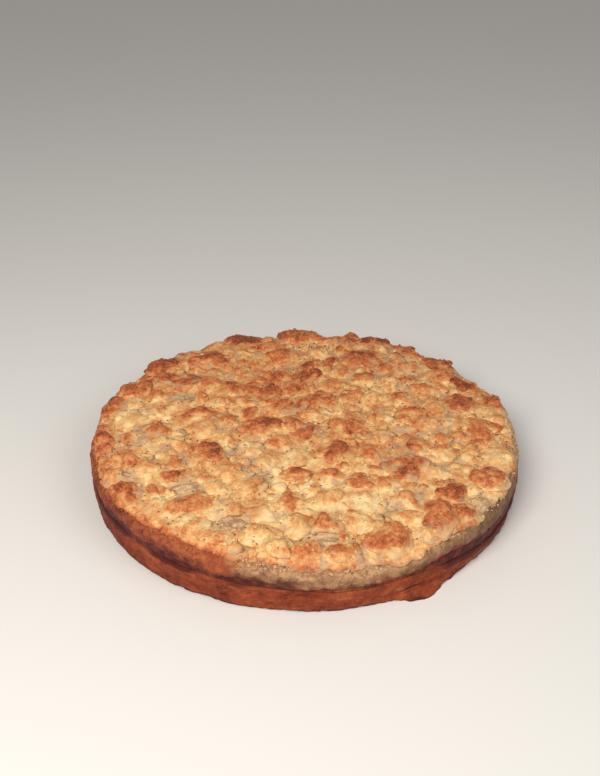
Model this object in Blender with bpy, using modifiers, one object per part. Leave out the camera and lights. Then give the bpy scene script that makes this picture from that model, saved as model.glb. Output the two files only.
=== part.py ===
"""Round apple crumble baked in a 26 cm spring-sided tin and lifted out of it.

Four layers run through it: a browned shortcrust base, a thin dark fruit seam, a pale cooked
apple layer and a crumble topping with its clumps fused on. Metres, +Z up, origin under the
middle of the base. Bearings are in degrees, anticlockwise from +X, and -Y is the front.
"""

import math
import random

import bmesh
import bpy
from mathutils import Matrix, Vector, noise

MM = 0.001

# Driving dimensions
FOOT_RADIUS = 128.0 * MM
WALL_RADIUS = 129.2 * MM
REACH = 131.5 * MM  # nothing of the crumble hangs out past this radius
CRUST_HEIGHT = 16.5 * MM
SEAM_HEIGHT = 1.7 * MM
APPLE_HEIGHT = 9.0 * MM
CRUMBLE_CORE = 5.4 * MM  # bare crumble between its clumps, at the middle
GAP = 0.3 * MM  # air between touching layers

STEPS = 60  # sides of every turned layer
INNER_RINGS = [0.0, 102.0 * MM, 123.5 * MM]  # radii shared by the layers' faces
SEAM_INSET = 2.2 * MM  # how far the dark seam stands back from the side
CORE_RADIUS = 125.5 * MM
DOME_DROP = 3.8 * MM  # the bare crumble is this much lower at its rim

# Swells round the side: bearing, half-width in degrees, height
SEAM_RISES = [
    (222, 26, 2.4 * MM), (282, 13, -3.2 * MM), (328, 20, -5.2 * MM),
    (130, 30, 2.5 * MM), (20, 24, -1.5 * MM),
]
SEAM_GAPES = [
    (256, 7, 2.2 * MM), (236, 10, 3.2 * MM), (213, 14, 3.2 * MM), (308, 7, 2.6 * MM),
    (323, 18, 4.2 * MM), (160, 12, 2.4 * MM), (112, 14, 3.0 * MM), (64, 12, 2.2 * MM),
    (12, 14, 2.6 * MM),
]
RIM_RISES = [
    (238, 20, 4.5 * MM), (264, 7, 1.8 * MM), (294, 8, -1.8 * MM), (307, 7, 2.6 * MM),
    (88, 46, -3.0 * MM),
]
RIM_DIPS = [
    (102, 5, -4.5 * MM), (81, 5.5, -4.5 * MM), (48, 6, -3.5 * MM), (126, 5, -2.5 * MM),
    (150, 6, -3.0 * MM), (29, 7, -4.5 * MM),
]
BARE_DIP = -1.0 * MM  # no filling clump lies where a dip is deeper than this
WALL_RISES = [(182, 24, -1.1 * MM)]
FOOT_FLAKE = (299, 6.5, 6.5 * MM)  # dough pressed out under the tin's ring
FOOT_FLAKE_HEIGHT = 4.0 * MM

# Roughness of the baked side: height, and waves per metre round it and up it
WALL_CRAGS = 0.9 * MM
CRAGS_ROUND = 70.0
CRAGS_UP = 220.0

# The clumps that catch the eye: x, y, across and deep in millimetres, and turn in degrees
MAIN_CLUMPS = [
    # front
    (-56, -38, 31, 19, -50), (-88, -10, 19, 17, 0), (-103, -38, 17, 16, 0),
    (-73, -58, 19, 13, 10), (-96, -72, 25, 16, -50), (-60, -82, 32, 20, 5),
    (-4, -57, 20, 12, -10), (-8, -80, 15, 20, 0), (57, -48, 24, 24, 0),
    (31, -64, 19, 16, 0), (78, -70, 20, 20, 10), (72, -92, 19, 25, 15),
    (85, -86, 14, 15, 0), (103, -57, 24, 18, 0), (43, -106, 22, 28, 0),
    (-22, -104, 20, 18, 0), (21, -119, 19, 14, 10), (1, -118, 17, 13, 0),
    (-45, -109, 19, 14, -20), (63, -104, 16, 14, 30),
    # middle
    (-27, -9, 28, 18, 15), (3, -13, 14, 15, 0), (27, -8, 20, 26, 10),
    (16, -36, 18, 24, -25), (97, 20, 20, 18, 0), (-67, 4, 24, 17, 0),
    (-28, 34, 22, 16, 0), (106, -8, 20, 20, 0), (-120, 17, 21, 19, 80),
    (-119, -14, 15, 24, 0), (119, 24, 18, 19, 0),
    # back
    (1, 55, 14, 24, -15), (40, 76, 26, 20, 0), (-14, 79, 24, 20, 0),
    (-43, 103, 26, 20, 20), (-3, 107, 35, 17, 0), (30, 108, 19, 17, 0),
    (49, 104, 20, 18, -25), (-62, 71, 28, 20, 15), (-93, 68, 28, 18, 35),
    (-82, 45, 32, 18, 10), (-107, 36, 24, 20, 60), (89, 71, 18, 20, -40),
    (70, 91, 19, 18, -35), (103, 47, 17, 22, 20),
]
FILL_SIZES = [(17, 900), (14, 900), (11, 900)]  # mm across, places tried
FILL_REACH = 127.0  # the filling clumps end this far out, in millimetres
CROWDING = 0.88  # how near two clumps may stand, as a share of their half widths
FILL_SEED = 2611

CLUMP_LEAST = 1.7 * MM  # half height of the least clump
CLUMP_GROWTH = 0.23  # what a clump's half width adds to its half height
CLUMP_LIFT = 0.28  # how far its middle stands above the bed, as a share of its half height
CLUMP_ROOT = 1.8  # depth of its root below its middle, as a share of its half height
CLUMP_SHOULDER = 46.0  # its two rings of corners, in degrees from upright
CLUMP_BELLY = 96.0
CLUMP_UNEVEN = 0.2  # how far its surface strays from an ellipsoid
CLUMP_SIDES = [(9.0 * MM, 8), (6.8 * MM, 6), (0.0, 5)]  # least mean half width, sides
UNDERSIDE = 1.2 * MM  # clumps stop this far above the apple layer

# Cooked apple that shows between the clumps: x, y, long and wide in millimetres, turn
APPLE_BITS = [
    (-99, -15, 20, 13, 70), (-66, -66, 20, 9, 25), (-37, -96, 17, 11, -10),
    (-24, -57, 13, 9, 40), (11, -108, 18, 9, 0), (84, -47, 17, 9, 15),
    (59, -74, 14, 10, 60), (-100, -54, 14, 9, -20), (96, -76, 13, 9, 50),
    (42, 52, 17, 10, 20), (-76, 26, 16, 10, 0), (70, 62, 15, 9, -30),
]
APPLE_THICK = 5.0 * MM
APPLE_LIFT = -0.2
APPLE_UNEVEN = 0.1
APPLE_SIDES = 5

LUMP_WAVES = 1.3  # waves of unevenness over a lump
LUMP_SPREAD = 91.0  # sets the unevenness of one lump apart from the next one's


def clear_scene():
    for obj in list(bpy.data.objects):
        bpy.data.objects.remove(obj, do_unlink=True)


def food(name, colour, roughness):
    material = bpy.data.materials.new(name)
    material.use_nodes = True
    shader = material.node_tree.nodes["Principled BSDF"]
    shader.inputs["Base Color"].default_value = (*colour, 1.0)
    shader.inputs["Roughness"].default_value = roughness
    shader.inputs["Metallic"].default_value = 0.0
    return material


def bearing_of(point):
    return math.degrees(math.atan2(point.y, point.x)) % 360.0


def swell(bearing, bumps):
    """Height at a bearing of smooth bumps, each a bearing, a half-width and a height."""
    total = 0.0
    for centre, spread, height in bumps:
        away = (bearing - centre + 180.0) % 360.0 - 180.0
        total += height * math.exp(-((away / spread) ** 2))
    return total


def near_side(radius):
    """0 inside the cake and 1 at its side, so that a layer is level where it is hidden."""
    share = (radius - INNER_RINGS[1]) / (INNER_RINGS[-1] - INNER_RINGS[1])
    share = min(max(share, 0.0), 1.0)
    return share * share * (3.0 - 2.0 * share)


def ground(radius, bearing):
    return 0.0


def crust_top(radius, bearing):
    rise = swell(bearing, SEAM_RISES) - 0.5 * swell(bearing, SEAM_GAPES)
    return CRUST_HEIGHT + rise * near_side(radius)


def seam_top(radius, bearing):
    gape = swell(bearing, SEAM_GAPES) * near_side(radius)
    return crust_top(radius, bearing) + SEAM_HEIGHT + gape


def apple_top(radius, bearing):
    rise = swell(bearing, RIM_RISES + RIM_DIPS) * near_side(radius)
    return CRUST_HEIGHT + SEAM_HEIGHT + APPLE_HEIGHT + rise


def bed_top(radius, bearing):
    """The bare crumble between the clumps, gently domed."""
    dome = DOME_DROP * (radius / CORE_RADIUS) ** 5
    return apple_top(radius, bearing) + CRUMBLE_CORE - dome


def above(face):
    """The face half a gap higher, where the layer over it begins."""
    return lambda radius, bearing: face(radius, bearing) + GAP / 2


def below(face):
    """The face half a gap lower, where the layer under it ends."""
    return lambda radius, bearing: face(radius, bearing) - GAP / 2


def apply_modifiers(obj):
    graph = bpy.context.evaluated_depsgraph_get()
    mesh = bpy.data.meshes.new_from_object(obj.evaluated_get(graph))
    obj.modifiers.clear()
    obj.data = mesh


def turned(name, profile, collection):
    """A layer turned about Z from a profile of radius and height, from the axis at its top,
    down its side, to the axis at its foot."""
    mesh = bpy.data.meshes.new(name)
    edges = [(i, i + 1) for i in range(len(profile) - 1)]
    mesh.from_pydata([(radius, 0.0, height) for radius, height in profile], edges, [])
    obj = bpy.data.objects.new(name, mesh)
    collection.objects.link(obj)
    screw = obj.modifiers.new("Turn", "SCREW")
    screw.angle = 2.0 * math.pi
    screw.steps = STEPS
    screw.render_steps = STEPS
    screw.use_merge_vertices = True
    screw.merge_threshold = 0.01 * MM
    apply_modifiers(obj)
    return obj


def split_alike(obj):
    """Cut every four-sided face from its inner clockwise corner to its outer anticlockwise
    one, so that a floor and the roof under it bend alike and never cross."""
    shape = bmesh.new()
    shape.from_mesh(obj.data)
    for face in list(shape.faces):
        if len(face.verts) == 4:
            inner_a, inner_b, outer_a, outer_b = sorted(face.verts, key=from_axis)
            start = inner_a if is_clockwise_of(inner_a, inner_b) else inner_b
            end = outer_b if is_clockwise_of(outer_a, outer_b) else outer_a
            bmesh.utils.face_split(face, start, end)
    shape.to_mesh(obj.data)
    shape.free()


def from_axis(vertex):
    return vertex.co.xy.length


def is_clockwise_of(one, other):
    return one.co.x * other.co.y - one.co.y * other.co.x > 0.0


def wall_radius(radius, height, bearing):
    """Radius of the baked side: slow swells, crags, and the flake at the foot."""
    turn = math.radians(bearing)
    around = Vector((math.cos(turn), math.sin(turn), 0.0)) * WALL_RADIUS * CRAGS_ROUND
    crags = WALL_CRAGS * noise.noise(around + Vector((0.0, 0.0, height * CRAGS_UP)))
    foot = max(0.0, 1.0 - height / FOOT_FLAKE_HEIGHT)
    return radius + crags + swell(bearing, WALL_RISES) + swell(bearing, [FOOT_FLAKE]) * foot


def layer(name, side, floor, roof, collection, material):
    """One layer between two faces, floor and roof, each a function of radius and bearing.
    side is its outer profile: radius, and share of the way from roof down to floor."""
    top = [(radius, 0.0) for radius in INNER_RINGS]
    foot = [(radius, 1.0) for radius in reversed(INNER_RINGS)]
    obj = turned(name, [(r, 1.0 - share) for r, share in top + side + foot], collection)
    split_alike(obj)
    for vertex in obj.data.vertices:
        radius = vertex.co.xy.length
        bearing = bearing_of(vertex.co)
        low = floor(radius, bearing)
        height = low + vertex.co.z * (roof(radius, bearing) - low)
        if radius > INNER_RINGS[-1] + 0.1 * MM:
            vertex.co.xy *= wall_radius(radius, height, bearing) / radius
        vertex.co.z = height
    obj.data.materials.append(material)
    return obj


def shade(obj):
    obj.data.shade_smooth()
    obj.data.set_sharp_from_angle(angle=math.radians(35.0))


def build_crust(collection):
    side = [
        (WALL_RADIUS - 0.4 * MM, 0.05), (WALL_RADIUS, 0.25), (WALL_RADIUS - 0.5 * MM, 0.6),
        (FOOT_RADIUS + 0.3 * MM, 0.88), (FOOT_RADIUS - 0.4 * MM, 1.0),
    ]
    brown = food("browned_shortcrust", (0.30, 0.10, 0.05), 0.75)
    shade(layer("shortcrust_base", side, ground, below(crust_top), collection, brown))


def build_seam(collection):
    inner = WALL_RADIUS - SEAM_INSET
    side = [(inner, 0.1), (inner - 0.7 * MM, 0.5), (inner, 0.9)]
    dark = food("dark_fruit", (0.09, 0.03, 0.03), 0.35)
    shade(layer("fruit_seam", side, above(crust_top), below(seam_top), collection, dark))


def build_apple(collection):
    side = [
        (WALL_RADIUS - 1.2 * MM, 0.06), (WALL_RADIUS + 0.2 * MM, 0.35),
        (WALL_RADIUS, 0.7), (WALL_RADIUS - 1.0 * MM, 0.95),
    ]
    pale = food("cooked_apple", (0.42, 0.26, 0.15), 0.5)
    shade(layer("apple_layer", side, above(seam_top), below(apple_top), collection, pale))


def clump_layout():
    """The main clumps, then smaller and smaller ones dropped wherever there is room."""
    placed = list(MAIN_CLUMPS)
    draw = random.Random(FILL_SEED)
    for size, tries in FILL_SIZES:
        for _ in range(tries):
            reach = (FILL_REACH - size / 2) * math.sqrt(draw.random())
            bearing = draw.uniform(0.0, 2.0 * math.pi)
            x, y = reach * math.cos(bearing), reach * math.sin(bearing)
            across = size * draw.uniform(0.9, 1.15)
            deep = across * draw.uniform(0.72, 1.0)
            turn = draw.uniform(0.0, 180.0)
            dip = swell(math.degrees(bearing), RIM_DIPS) * near_side(reach * MM)
            if dip > BARE_DIP and has_room(x, y, (across + deep) / 4, placed):
                placed.append((x, y, across, deep, turn))
    return placed


def has_room(x, y, half, placed):
    for other_x, other_y, across, deep, _ in placed:
        apart = math.hypot(x - other_x, y - other_y)
        if apart < CROWDING * (half + (across + deep) / 4):
            return False
    return True


def lump_corner(point):
    """A corner of a three-band sphere moved to its place on a lump: the upper ring becomes
    its shoulder, the lower ring its belly and the lower pole its root in the bed."""
    if point.xy.length < 0.1:
        return Vector((0.0, 0.0, 1.0 if point.z > 0.0 else -CLUMP_ROOT))
    tilt = math.radians(CLUMP_SHOULDER if point.z > 0.0 else CLUMP_BELLY)
    flat = point.xy.normalized() * math.sin(tilt)
    return Vector((flat.x, flat.y, math.cos(tilt)))


def add_lump(name, spot, halves, turn, lift, sides, uneven, collection):
    """A lump of half sizes halves, turned about Z and set in the bed, strayed unevenly."""
    radius = min(spot.length, CORE_RADIUS)
    bed = bed_top(radius, bearing_of(spot))
    middle = Vector((spot.x, spot.y, bed + lift * halves.z))
    spin = Matrix.Rotation(math.radians(turn), 3, "Z")
    lump = bmesh.new()
    bmesh.ops.create_uvsphere(lump, u_segments=sides, v_segments=3, radius=1.0)
    for vertex in lump.verts:
        corner = lump_corner(vertex.co)
        place = corner * LUMP_WAVES + spot.to_3d() * LUMP_SPREAD
        corner *= 1.0 + uneven * noise.noise(place)
        vertex.co = held_in(spin @ (corner * halves) + middle)
    mesh = bpy.data.meshes.new(name)
    lump.to_mesh(mesh)
    lump.free()
    collection.objects.link(bpy.data.objects.new(name, mesh))


def held_in(point):
    """The point kept inside the crumble's reach and above the apple layer."""
    if point.xy.length > REACH:
        point.xy *= REACH / point.xy.length
    floor = apple_top(min(point.xy.length, WALL_RADIUS), bearing_of(point)) + UNDERSIDE
    point.z = max(point.z, floor)
    return point


def build_crumble(collection, loose):
    """The bed with every clump and piece of apple joined to it in one Boolean union."""
    rim = CORE_RADIUS - 1.0 * MM
    side = [(rim, 0.1), (CORE_RADIUS, 0.5), (rim, 0.9)]
    golden = food("golden_crumble", (0.75, 0.45, 0.19), 0.85)
    crumble = layer("crumble", side, above(apple_top), bed_top, collection, golden)
    for count, (x, y, across, deep, turn) in enumerate(clump_layout()):
        half = (across + deep) / 4 * MM
        halves = Vector((across / 2 * MM, deep / 2 * MM, CLUMP_LEAST + CLUMP_GROWTH * half))
        sides = next(sides for least, sides in CLUMP_SIDES if half > least)
        spot = Vector((x, y)) * MM
        add_lump(f"clump_{count}", spot, halves, turn, CLUMP_LIFT, sides, CLUMP_UNEVEN, loose)
    for count, (x, y, long, wide, turn) in enumerate(APPLE_BITS):
        halves = Vector((long / 2 * MM, wide / 2 * MM, APPLE_THICK / 2))
        spot = Vector((x, y)) * MM
        add_lump(f"bit_{count}", spot, halves, turn, APPLE_LIFT, APPLE_SIDES, APPLE_UNEVEN, loose)
    union = crumble.modifiers.new("Fuse", "BOOLEAN")
    union.operation = "UNION"
    union.operand_type = "COLLECTION"
    union.collection = loose
    union.solver = "MANIFOLD"
    apply_modifiers(crumble)
    for obj in list(loose.objects):
        bpy.data.objects.remove(obj, do_unlink=True)
    bpy.data.collections.remove(loose)
    keep_outer_shell(crumble)
    shade(crumble)


def keep_outer_shell(obj):
    """Fill the hollows sealed under the clumps and drop loose scraps: of the mesh's separate
    shells only the one with the most vertices stays."""
    shape = bmesh.new()
    shape.from_mesh(obj.data)
    left = set(shape.verts)
    shells = []
    while left:
        shell = grown_from(left.pop())
        left -= shell
        shells.append(shell)
    shells.sort(key=len)
    for shell in shells[:-1]:
        bmesh.ops.delete(shape, geom=list(shell), context="VERTS")
    shape.to_mesh(obj.data)
    shape.free()


def grown_from(start):
    """Every vertex joined to start by edges."""
    shell = {start}
    edge = [start]
    while edge:
        for link in edge.pop().link_edges:
            for vertex in link.verts:
                if vertex not in shell:
                    shell.add(vertex)
                    edge.append(vertex)
    return shell


def main():
    clear_scene()
    cake = bpy.data.collections.new("apple_crumble")
    loose = bpy.data.collections.new("clumps_to_fuse")
    bpy.context.scene.collection.children.link(cake)
    bpy.context.scene.collection.children.link(loose)
    build_crust(cake)
    build_seam(cake)
    build_apple(cake)
    build_crumble(cake, loose)


main()
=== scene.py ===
# Looks of a round apple crumble: browned shortcrust, dark fruit seam, cooked apple and crumble.
# Lengths are in metres. Bearings are in degrees, anticlockwise from +X, and -Y is the front.

import bpy
import itertools
import math
import random
import numpy as np
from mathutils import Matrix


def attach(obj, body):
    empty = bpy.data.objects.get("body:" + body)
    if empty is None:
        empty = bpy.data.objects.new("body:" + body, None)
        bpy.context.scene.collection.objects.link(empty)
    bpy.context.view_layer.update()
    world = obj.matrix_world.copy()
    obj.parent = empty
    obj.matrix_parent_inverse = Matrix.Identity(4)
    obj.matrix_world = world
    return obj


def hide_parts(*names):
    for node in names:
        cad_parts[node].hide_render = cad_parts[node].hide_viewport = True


mm = 0.001
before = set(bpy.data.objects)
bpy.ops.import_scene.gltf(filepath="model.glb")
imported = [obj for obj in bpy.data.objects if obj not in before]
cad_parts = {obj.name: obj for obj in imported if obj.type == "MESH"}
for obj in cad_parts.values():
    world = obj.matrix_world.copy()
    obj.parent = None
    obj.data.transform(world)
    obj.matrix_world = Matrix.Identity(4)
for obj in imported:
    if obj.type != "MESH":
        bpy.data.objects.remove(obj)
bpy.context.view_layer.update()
print("frame loaded")


# helpers: noise. Each use has a seed of its own, a whole number that picks its pattern
def hashed(ix, iy, iz, seed):
    # whole-number lattice places -> random numbers from 0 to 1, by mixing their bits
    h = ix.astype(np.uint32) * np.uint32(2376512323)
    h ^= iy.astype(np.uint32) * np.uint32(3625334849)
    h ^= iz.astype(np.uint32) * np.uint32(3407524639)
    h += np.uint32(seed * 2654435761 % 4294967296)
    for shift, factor in ((15, 739982445), (12, 695872825), (15, 1)):
        h ^= h >> np.uint32(shift)
        h *= np.uint32(factor)
    return h / 4294967295.0


def smoothNoise(points, size, seed):
    # random numbers at the corners of cubes of side size, blended by 3t^2 - 2t^3 between
    # them: a smooth field from -1 to 1
    place = points / size
    corner = np.floor(place)
    share = place - corner
    sx, sy, sz = np.moveaxis(share * share * (3.0 - 2.0 * share), -1, 0)
    ix, iy, iz = np.moveaxis(corner.astype(np.int64), -1, 0)
    total = 0.0
    for dx, dy, dz in itertools.product((0, 1), repeat=3):
        weight = np.abs(1 - dx - sx) * np.abs(1 - dy - sy) * np.abs(1 - dz - sz)
        total = total + weight * hashed(ix + dx, iy + dy, iz + dz, seed)
    return total * 2.0 - 1.0


def layeredNoise(points, size, seed, layers=3):
    # smoothNoise plus the same at half the size and half the height, and so on
    total, height = 0.0, 0.0
    for step in range(layers):
        total = total + smoothNoise(points, size / 2 ** step, seed + step) / 2 ** step
        height += 1.0 / 2 ** step
    return total / height


def cellNoise(points, size, seed, level=False):
    # one random dot in each cube of side size: the distances to the nearest dot and to the
    # second nearest, in cubes; with level, measured without their height
    place = points / size
    corner = np.floor(place).astype(np.int64)
    nearest = np.full(points.shape[:-1], 9.0)
    second = nearest
    for step in itertools.product((-1, 0, 1), repeat=3):
        cube = corner + np.array(step)
        dot = cube + np.stack([hashed(*np.moveaxis(cube, -1, 0), seed + k) for k in range(3)], axis=-1)
        apart = place - dot
        away = np.hypot(apart[..., 0], apart[..., 1]) if level else np.linalg.norm(apart, axis=-1)
        second = np.minimum(second, np.maximum(nearest, away))
        nearest = np.minimum(nearest, away)
    return nearest, second


def roundedCells(points, size, seed, top):
    # top - distance^2 to the nearest dot of cellNoise
    return top - cellNoise(points, size, seed)[0] ** 2


def waved(points, shape, seed):
    # noise of two layers; shape: its height and its size
    height, size = shape
    return height * layeredNoise(points, size, seed, 2)


def fade(value, low, high):
    # 0 below low, 1 above high and 3t^2 - 2t^3 between; low may be the larger
    share = np.clip((value - low) / (high - low), 0.0, 1.0)
    return share * share * (3.0 - 2.0 * share)


# helpers: places
def spaced(x, y, z=0.0):
    # points from their three parts
    return np.stack(np.broadcast_arrays(x, y, z), axis=-1)


def atBearing(radius, bearing, z=0.0):
    # points at a distance from the axis, in a direction and at a height
    turn = np.radians(bearing)
    return spaced(radius * np.cos(turn), radius * np.sin(turn), z)


def bearingOf(x, y):
    return np.degrees(np.arctan2(y, x)) % 360.0


def turnedInto(x, y, turn):
    # x and y as measured on axes that are turned by so many degrees
    cos, sin = math.cos(math.radians(turn)), math.sin(math.radians(turn))
    return x * cos + y * sin, y * cos - x * sin


def turnedAbout(points, turns):
    # x cos - y sin and x sin + y cos, one turn in radians for each row of points
    cos, sin = np.cos(turns)[:, None], np.sin(turns)[:, None]
    x, y = points[..., 0], points[..., 1]
    return spaced(x * cos - y * sin, x * sin + y * cos, points[..., 2])


# helpers: meshes
def linked(name, data):
    obj = bpy.data.objects.new(name, data)
    bpy.context.scene.collection.objects.link(obj)
    return obj


def meshObject(name, points, faces, material, attributes=None):
    # faces: list of whole-number arrays, one row a face, each array of one face size
    mesh = bpy.data.meshes.new(name)
    mesh.from_pydata(points.tolist(), [], [face for block in faces for face in block.tolist()])
    mesh.shade_smooth()
    for key, values in (attributes or {}).items():
        layer = mesh.attributes.new(key, "FLOAT", "POINT")
        layer.data.foreach_set("value", values.astype(np.float32).ravel())
    mesh.materials.append(material)
    obj = linked(name, mesh)
    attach(obj, "root")
    return obj


def ringFaces(rings, around, first=0):
    # quads between rings of points that each go once round, ring after ring
    ring = np.arange(rings - 1)[:, None] * around + first
    step = np.arange(around)
    after = (step + 1) % around
    quads = np.stack([ring + step, ring + around + step, ring + around + after, ring + after], axis=-1)
    return quads.reshape(-1, 4)


def fan(pole, ring):
    # triangles from a pole to a closed ring of points, in the ring's order
    return np.stack([np.full(len(ring), pole), ring, np.roll(ring, -1)], axis=1)


def turnedObject(name, radius, height, bearings, material, attributes):
    # radius and height: arrays of rings x around, from the top ring down the side to the
    # bottom ring. A point on the axis closes each end with a fan of triangles
    rings, around = radius.shape
    poles = [[0.0, 0.0, height[0].mean()], [0.0, 0.0, height[-1].mean()]]
    points = np.concatenate([atBearing(radius, bearings, height).reshape(-1, 3), poles])
    step = np.arange(around)
    foot = (rings - 1) * around + step[::-1]
    faces = [ringFaces(rings, around), fan(rings * around, step), fan(rings * around + 1, foot)]
    for key, values in attributes.items():
        attributes[key] = np.append(np.broadcast_to(values, radius.shape), [0.0, 0.0])
    return meshObject(name, points, faces, material, attributes)


def lumpGrid(rings, around, lowRings):
    # directions from a lump's middle: its top, rings at even tilts down to 112 degrees,
    # wider-spaced rings below and its bottom; and the faces between them
    tilt = np.concatenate([np.linspace(0, 112, rings + 1)[1:], np.linspace(112, 180, lowRings + 2)[1:-1]])
    tilt = np.radians(tilt)[:, None]
    turn = np.arange(around) * 2.0 * math.pi / around
    ring = spaced(np.sin(tilt) * np.cos(turn), np.sin(tilt) * np.sin(turn), np.cos(tilt)).reshape(-1, 3)
    ball = np.concatenate([[[0.0, 0.0, 1.0]], ring, [[0.0, 0.0, -1.0]]])
    step = np.arange(around)
    caps = [fan(0, 1 + step), fan(len(ring) + 1, 1 + len(ring) - around + step[::-1])]
    return ball, [np.concatenate(caps), ringFaces(len(tilt), around, 1)]


def lumpsObject(name, points, faces, material, attributes=None):
    # points: lumps x the points of each; faces: those of one lump, repeated for all
    count, each = points.shape[:2]
    shift = (np.arange(count) * each)[:, None, None]
    blocks = [(block + shift).reshape(-1, block.shape[1]) for block in faces]
    return meshObject(name, points.reshape(-1, 3), blocks, material, attributes)


# helpers: materials. A colour is three numbers from 0 to 255, as a screen shows it
def srgb(*parts):
    # in Blender's linear numbers
    shown = [part / 255 for part in parts]
    return tuple(v / 12.92 if v < 0.0404 else ((v + 0.055) / 1.055) ** 2.4 for v in shown) + (1.0,)


def feed(socket, value):
    # a link from another node's socket, or else a value set on the socket itself
    if isinstance(value, bpy.types.NodeSocket):
        socket.id_data.links.new(value, socket)
    else:
        socket.default_value = value


def node(tree, kind, inputs, **settings):
    new = tree.nodes.new(kind)
    for key, value in settings.items():
        setattr(new, key, value)
    for key, value in inputs.items():
        feed(new.inputs[key], value)
    return new


def newMaterial(name):
    material = bpy.data.materials.new(name)
    material.use_nodes = True
    tree = material.node_tree
    place = node(tree, "ShaderNodeTexCoord", {}).outputs["Object"]
    return material, tree, tree.nodes["Principled BSDF"], place


def noiseOf(tree, place, size, detail=2.0, roughness=0.5):
    inputs = {"Vector": place, "Scale": 1.0 / size, "Detail": detail, "Roughness": roughness}
    return node(tree, "ShaderNodeTexNoise", inputs).outputs["Fac"]


def noisesOf(tree, place, *kinds):
    # a noise for each size in millimetres, detail and roughness
    return [noiseOf(tree, place, size * mm, detail, rough) for size, detail, rough in kinds]


def squashed(tree, place, upright):
    # places whose height is multiplied, so that a pattern is squashed or drawn out upwards
    return node(tree, "ShaderNodeMapping", {"Vector": place, "Scale": (1.0, 1.0, upright)}).outputs["Vector"]


def attributeOf(tree, name):
    return node(tree, "ShaderNodeAttribute", {}, attribute_name=name).outputs["Fac"]


def rescaled(tree, value, low, high, toLow=0.0, toHigh=1.0):
    inputs = {"Value": value, "From Min": low, "From Max": high, "To Min": toLow, "To Max": toHigh}
    return node(tree, "ShaderNodeMapRange", inputs).outputs["Result"]


def spread(tree, noise, toLow, toHigh):
    # a noise's usual values, 0.3 to 0.7, run from one value to another
    return rescaled(tree, noise, 0.3, 0.7, toLow, toHigh)


def calculated(tree, operation, first, *others):
    for other in others:
        first = node(tree, "ShaderNodeMath", {0: first, 1: other}, operation=operation).outputs[0]
    return first


def rampOf(tree, value, stops):
    # stops: place from 0 to 1 and the colour there
    ramp = node(tree, "ShaderNodeValToRGB", {"Fac": value})
    elements = ramp.color_ramp.elements
    while len(elements) < len(stops):
        elements.new(0.5)
    for element, (place, *colour) in zip(elements, stops):
        element.position = place
        element.color = srgb(*colour)
    return ramp.outputs["Color"]


def mixed(tree, share, one, other):
    # one and other: a colour or another node's socket
    one, other = [srgb(*value) if isinstance(value, tuple) else value for value in (one, other)]
    return node(tree, "ShaderNodeMix", {0: share, 6: one, 7: other}, data_type="RGBA").outputs[2]


def painted(shader, colour, roughness, specular=0.5, bumps=()):
    # bumps: height and depth of each, the finest first
    feed(shader.inputs["Base Color"], colour)
    feed(shader.inputs["Roughness"], roughness)
    feed(shader.inputs["Specular IOR Level"], specular)
    under = {}
    for height, depth in bumps:
        inputs = {"Height": height, "Distance": depth, "Strength": 1.0, **under}
        under = {"Normal": node(shader.id_data, "ShaderNodeBump", inputs).outputs["Normal"]}
    if bumps:
        feed(shader.inputs["Normal"], under["Normal"])


# the cake's layers: sizes and swells shared by all pieces
cake = {
    "footRadius": 128.0 * mm,
    "wallRadius": 129.2 * mm,
    "reach": 131.2 * mm,
    "crustHeight": 16.5 * mm,
    "seamHeight": 1.7 * mm,
    "appleHeight": 9.0 * mm,
    "crumbleCore": 5.4 * mm,
    "coreRadius": 125.5 * mm,
    "domeDrop": 3.8 * mm,
    "hiddenRadius": 102.0 * mm,  # inside this radius the layers are level
    "shownRadius": 123.5 * mm,
    "gap": 0.15 * mm,
    "shoulder": 124.5 * mm,  # past this radius the crumble's clumps are pushed in by this share
    "overhang": 0.5,
    # bearing, half-width in degrees, height
    "seamRises": [
        (222, 26, 2.4 * mm), (282, 13, -3.2 * mm), (328, 20, -5.2 * mm),
        (130, 30, 2.5 * mm), (20, 24, -1.5 * mm),
    ],
    "seamGapes": [
        (256, 7, 2.2 * mm), (236, 10, 3.2 * mm), (213, 14, 3.2 * mm), (308, 7, 2.6 * mm),
        (323, 18, 4.2 * mm), (160, 12, 2.4 * mm), (112, 14, 3.0 * mm), (64, 12, 2.2 * mm),
        (12, 14, 2.6 * mm),
    ],
    "rimRises": [
        (238, 20, 4.5 * mm), (264, 7, 1.8 * mm), (294, 8, -1.8 * mm), (307, 7, 2.6 * mm),
        (88, 46, -3.0 * mm),
    ],
    "rimDips": [
        (102, 5, -4.5 * mm), (81, 5.5, -4.5 * mm), (48, 6, -3.5 * mm), (126, 5, -2.5 * mm),
        (150, 6, -3.0 * mm), (29, 7, -4.5 * mm),
    ],
    "wallRises": [(182, 24, -1.1 * mm)],
    # bearing, half-width in degrees, strength
    "bakedDry": [(227, 3.5, 0.8), (248.5, 3.5, 0.7), (262, 5, 0.4), (299, 5, 0.9)],  # no juice
    "toasted": [(240, 17, 1.0), (213, 17, 1.0), (186, 14, 0.8), (120, 18, 0.7), (52, 16, 0.6)],
    "shaded": [(326, 17, 0.6), (299, 5, 0.25), (140, 50, 0.15)],  # apple layer
    # height and size of its crags and grit, and how far it is rounded in at top and foot
    "appleSide": {
        "crag": (1.2 * mm, 11 * mm), "grit": (0.7 * mm, 2.6 * mm), "top": 3.2 * mm, "foot": 0.5 * mm,
    },
}


def swell(bearing, bumps):
    # sum of bumps height * exp(-(degrees away / half-width)^2)
    total = 0.0
    for centre, halfWidth, height in bumps:
        away = (bearing - centre + 180.0) % 360.0 - 180.0
        total = total + height * np.exp(-((away / halfWidth) ** 2))
    return total


def nearSide(radius):
    return fade(radius, cake["hiddenRadius"], cake["shownRadius"])


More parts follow.
